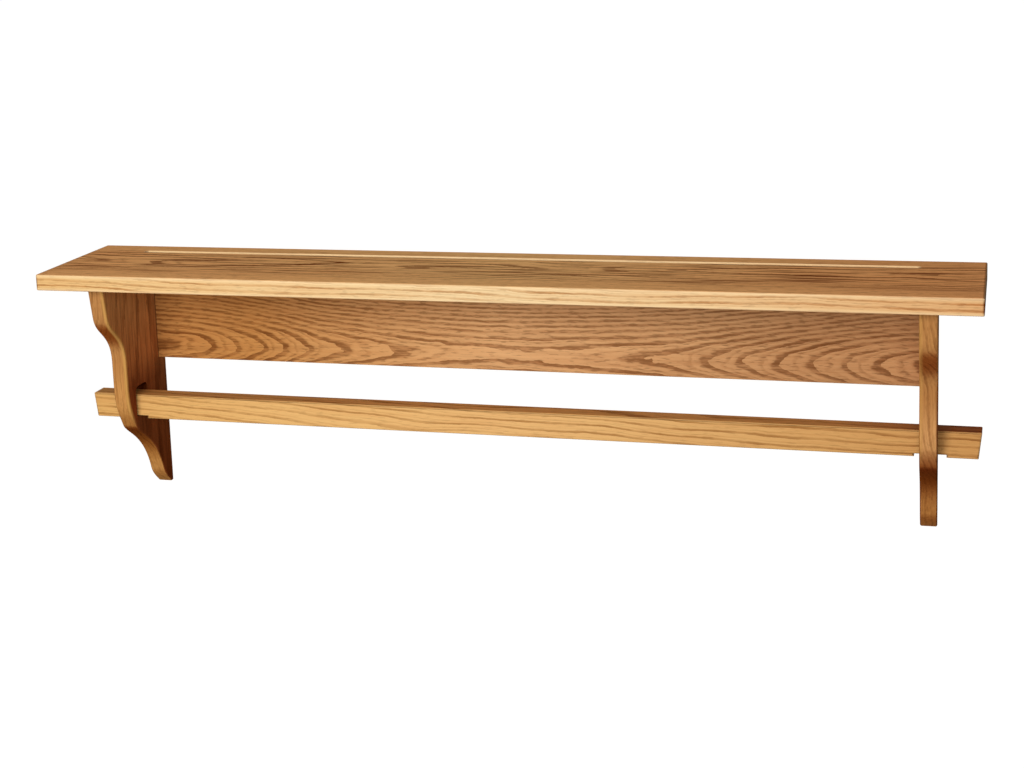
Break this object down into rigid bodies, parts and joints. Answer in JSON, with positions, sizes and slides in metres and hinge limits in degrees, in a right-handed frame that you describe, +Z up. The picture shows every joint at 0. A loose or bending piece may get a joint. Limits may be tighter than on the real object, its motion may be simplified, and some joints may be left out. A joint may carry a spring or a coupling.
{
  "type": "quilt shelf",
  "caption": "Wall-hung oak shelf with scrolled brackets, a back rail, a plate groove and a loose notched rail that lifts out to take a quilt.",
  "frame": {"origin": "middle of the back rail's rear face, on the wall plane", "axes": "+Y into the wall, +X along the shelf to the right seen from the front, +Z up"},
  "size_m": [1.0668, 0.1841, 0.3051],
  "materials": {
    "oak_shelf": "satin honey oak, grain along the length",
    "oak_bracket": "satin honey oak, upright grain",
    "oak_back_rail": "satin honey oak, plain-sawn cathedral grain",
    "oak_quilt_rail": "satin honey oak, straight grain",
    "birch_dowel": "bare birch",
    "zinc_plated_steel": "zinc plated",
    "screw_steel": "zinc plated"
  },
  "bodies": {
    "shelf": {"shelf_board": "oak_shelf", "left_bracket": "oak_bracket", "right_bracket": "oak_bracket", "back_rail": "oak_back_rail", "left_upper_rail_dowel": "birch_dowel", "left_lower_rail_dowel": "birch_dowel", "right_upper_rail_dowel": "birch_dowel", "right_lower_rail_dowel": "birch_dowel", "left_rear_bracket_dowel": "birch_dowel", "left_front_bracket_dowel": "birch_dowel", "right_rear_bracket_dowel": "birch_dowel", "right_front_bracket_dowel": "birch_dowel", "left_shelf_dowel": "birch_dowel", "middle_shelf_dowel": "birch_dowel", "right_shelf_dowel": "birch_dowel", "left_hanger": "zinc_plated_steel", "right_hanger": "zinc_plated_steel", "left_hanger_upper_screw": "screw_steel", "left_hanger_lower_screw": "screw_steel", "right_hanger_upper_screw": "screw_steel", "right_hanger_lower_screw": "screw_steel"},
    "rail": {"quilt_rail": "oak_quilt_rail"}
  },
  "joints": [
    {"name": "rail_lift", "type": "slide", "parent": "shelf", "child": "rail", "axis": [0, 0, 1], "range_m": [0, 0.0085]}
  ]
}
